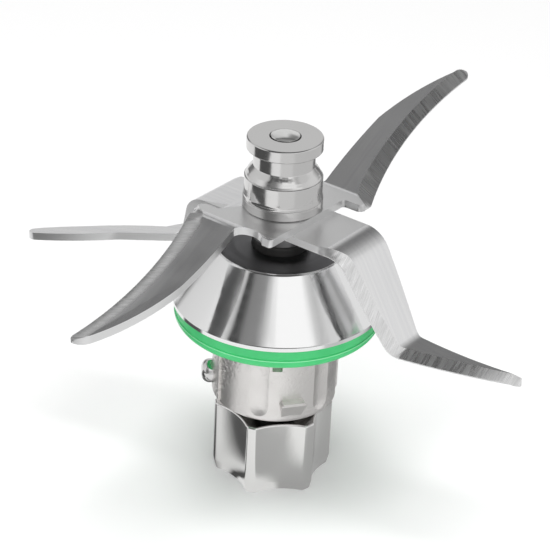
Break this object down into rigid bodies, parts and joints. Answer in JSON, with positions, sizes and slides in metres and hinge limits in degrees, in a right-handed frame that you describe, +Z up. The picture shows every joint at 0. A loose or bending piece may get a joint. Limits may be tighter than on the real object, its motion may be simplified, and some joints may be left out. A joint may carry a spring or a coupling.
{
  "type": "food processor blade",
  "caption": "Food processor blade assembly: crossed sheet-steel blades under a turned knob, on a shaft that spins in a polished cone housing with a green gasket and a star coupling below.",
  "frame": {"origin": "on the shaft's axis, at the flat underside of the coupling, on which the assembly stands", "axes": "+Z up along the shaft's axis; -Y towards the camera of the picture; +X to the picture's right"},
  "size_m": [0.1252, 0.0716, 0.0986],
  "materials": {
    "polished_steel": "turned and polished on the cone, blasted on the cast body",
    "turned_steel": "turned, with a fine radial grain on the top face",
    "blade_steel": "rolled sheet, ground along the cutting bevels",
    "cast_steel": "blasted casting",
    "bearing_steel": "ground",
    "plated_steel": "plated",
    "cage_plastic": "moulded",
    "green_silicone": "moulded, slightly glossy",
    "black_rubber": "moulded, matt"
  },
  "bodies": {
    "housing": {"bearing_housing": "polished_steel", "flange_gasket": "green_silicone", "shaft_seal": "black_rubber", "upper_bearing_outer_ring": "bearing_steel", "lower_bearing_outer_ring": "bearing_steel", "outer_spacer": "turned_steel", "retaining_ring": "plated_steel", "index_pin": "turned_steel", "upper_bearing_shields": "black_rubber", "lower_bearing_shields": "black_rubber"},
    "rotor": {"drive_shaft": "turned_steel", "top_knob": "turned_steel", "upper_blade": "blade_steel", "lower_blade": "blade_steel", "blade_washer": "turned_steel", "upper_bearing_inner_ring": "bearing_steel", "lower_bearing_inner_ring": "bearing_steel", "inner_spacer": "turned_steel", "coupling_spacer": "turned_steel", "drive_coupling": "cast_steel", "coupling_washer": "plated_steel", "coupling_nut": "plated_steel"},
    "upper_cage": {"upper_bearing_balls": "bearing_steel", "upper_bearing_cage": "cage_plastic"},
    "lower_cage": {"lower_bearing_balls": "bearing_steel", "lower_bearing_cage": "cage_plastic"}
  },
  "joints": [
    {"name": "shaft_spin", "type": "hinge", "parent": "housing", "child": "rotor", "pos_m": [0, 0, 0.0375], "axis": [0, 0, 1], "continuous": true},
    {"name": "upper_cage_spin", "type": "hinge", "parent": "housing", "child": "upper_cage", "pos_m": [0, 0, 0.0575], "axis": [0, 0, 1], "continuous": true},
    {"name": "lower_cage_spin", "type": "hinge", "parent": "housing", "child": "lower_cage", "pos_m": [0, 0, 0.0375], "axis": [0, 0, 1], "continuous": true}
  ],
  "couplings": [
    {"joint": "upper_cage_spin", "follows": "shaft_spin", "ratio": 0.36767},
    {"joint": "lower_cage_spin", "follows": "shaft_spin", "ratio": 0.36767}
  ]
}
